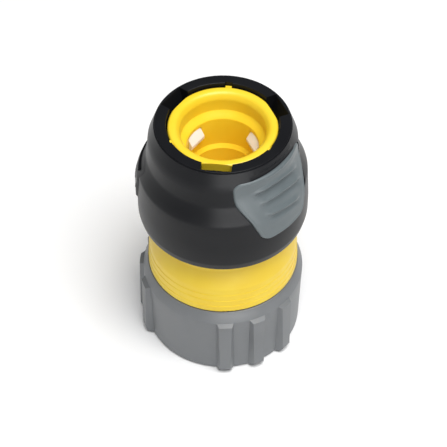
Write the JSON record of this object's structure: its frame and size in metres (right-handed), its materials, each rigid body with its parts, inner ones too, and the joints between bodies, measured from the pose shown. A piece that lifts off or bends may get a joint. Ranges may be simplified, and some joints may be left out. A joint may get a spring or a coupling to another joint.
{
  "type": "garden hose quick connector",
  "caption": "Push-fit hose connector: sprung release sleeve with soft grips, ramped locking pawls, barbed hose tail and a screw-down hose clamping nut.",
  "frame": {"origin": "on the bore's axis, at the nut's lower face where the hose goes in", "axes": "+Z along the bore from the hose end to the socket's mouth"},
  "size_m": [0.0431, 0.0436, 0.0703],
  "materials": {
    "body_plastic": "smooth yellow moulding",
    "sleeve_plastic": "fine satin black moulding",
    "soft_grip": "soft matt grey moulding",
    "spring_steel": "drawn stainless wire",
    "pawl_plastic": "smooth natural white moulding",
    "clamp_plastic": "smooth yellow moulding",
    "nut_plastic": "satin grey moulding"
  },
  "bodies": {
    "body": {"socket_body": "body_plastic", "sleeve_spring": "spring_steel"},
    "sleeve": {"sleeve": "sleeve_plastic", "grip_pad_front": "soft_grip", "grip_pad_back": "sleeve_plastic"},
    "clamp": {"clamp_ring": "clamp_plastic"},
    "nut": {"clamp_nut": "nut_plastic"},
    "pawl_1": {"pawl_1": "pawl_plastic"},
    "pawl_2": {"pawl_2": "pawl_plastic"},
    "pawl_3": {"pawl_3": "pawl_plastic"}
  },
  "joints": [
    {"name": "sleeve_slide", "type": "slide", "parent": "body", "child": "sleeve", "axis": [0, 0, -1], "range_m": [0, 0.005], "stiffness_N_per_m": 1500, "springref_m": -0.004, "deforming": ["sleeve_spring"]},
    {"name": "pawl_1_slide", "type": "slide", "parent": "body", "child": "pawl_1", "axis": [0.9135, 0.4067, 0], "range_m": [0, 0.00125]},
    {"name": "pawl_2_slide", "type": "slide", "parent": "body", "child": "pawl_2", "axis": [-0.809, 0.5878, 0], "range_m": [0, 0.00125]},
    {"name": "pawl_3_slide", "type": "slide", "parent": "body", "child": "pawl_3", "axis": [-0.1045, -0.9945, 0], "range_m": [0, 0.00125]},
    {"name": "clamp_slide", "type": "slide", "parent": "body", "child": "clamp", "axis": [0, 0, -1], "range_m": [0, 0.008]},
    {"name": "nut_turn", "type": "hinge", "parent": "clamp", "child": "nut", "pos_m": [0, 0, 0], "axis": [0, 0, -1], "range_deg": [0, 720]}
  ],
  "couplings": [
    {"joint": "pawl_1_slide", "follows": "sleeve_slide", "ratio": 0.25},
    {"joint": "pawl_2_slide", "follows": "sleeve_slide", "ratio": 0.25},
    {"joint": "pawl_3_slide", "follows": "sleeve_slide", "ratio": 0.25},
    {"joint": "clamp_slide", "follows": "nut_turn", "m_per_rad": 0.00063662}
  ]
}
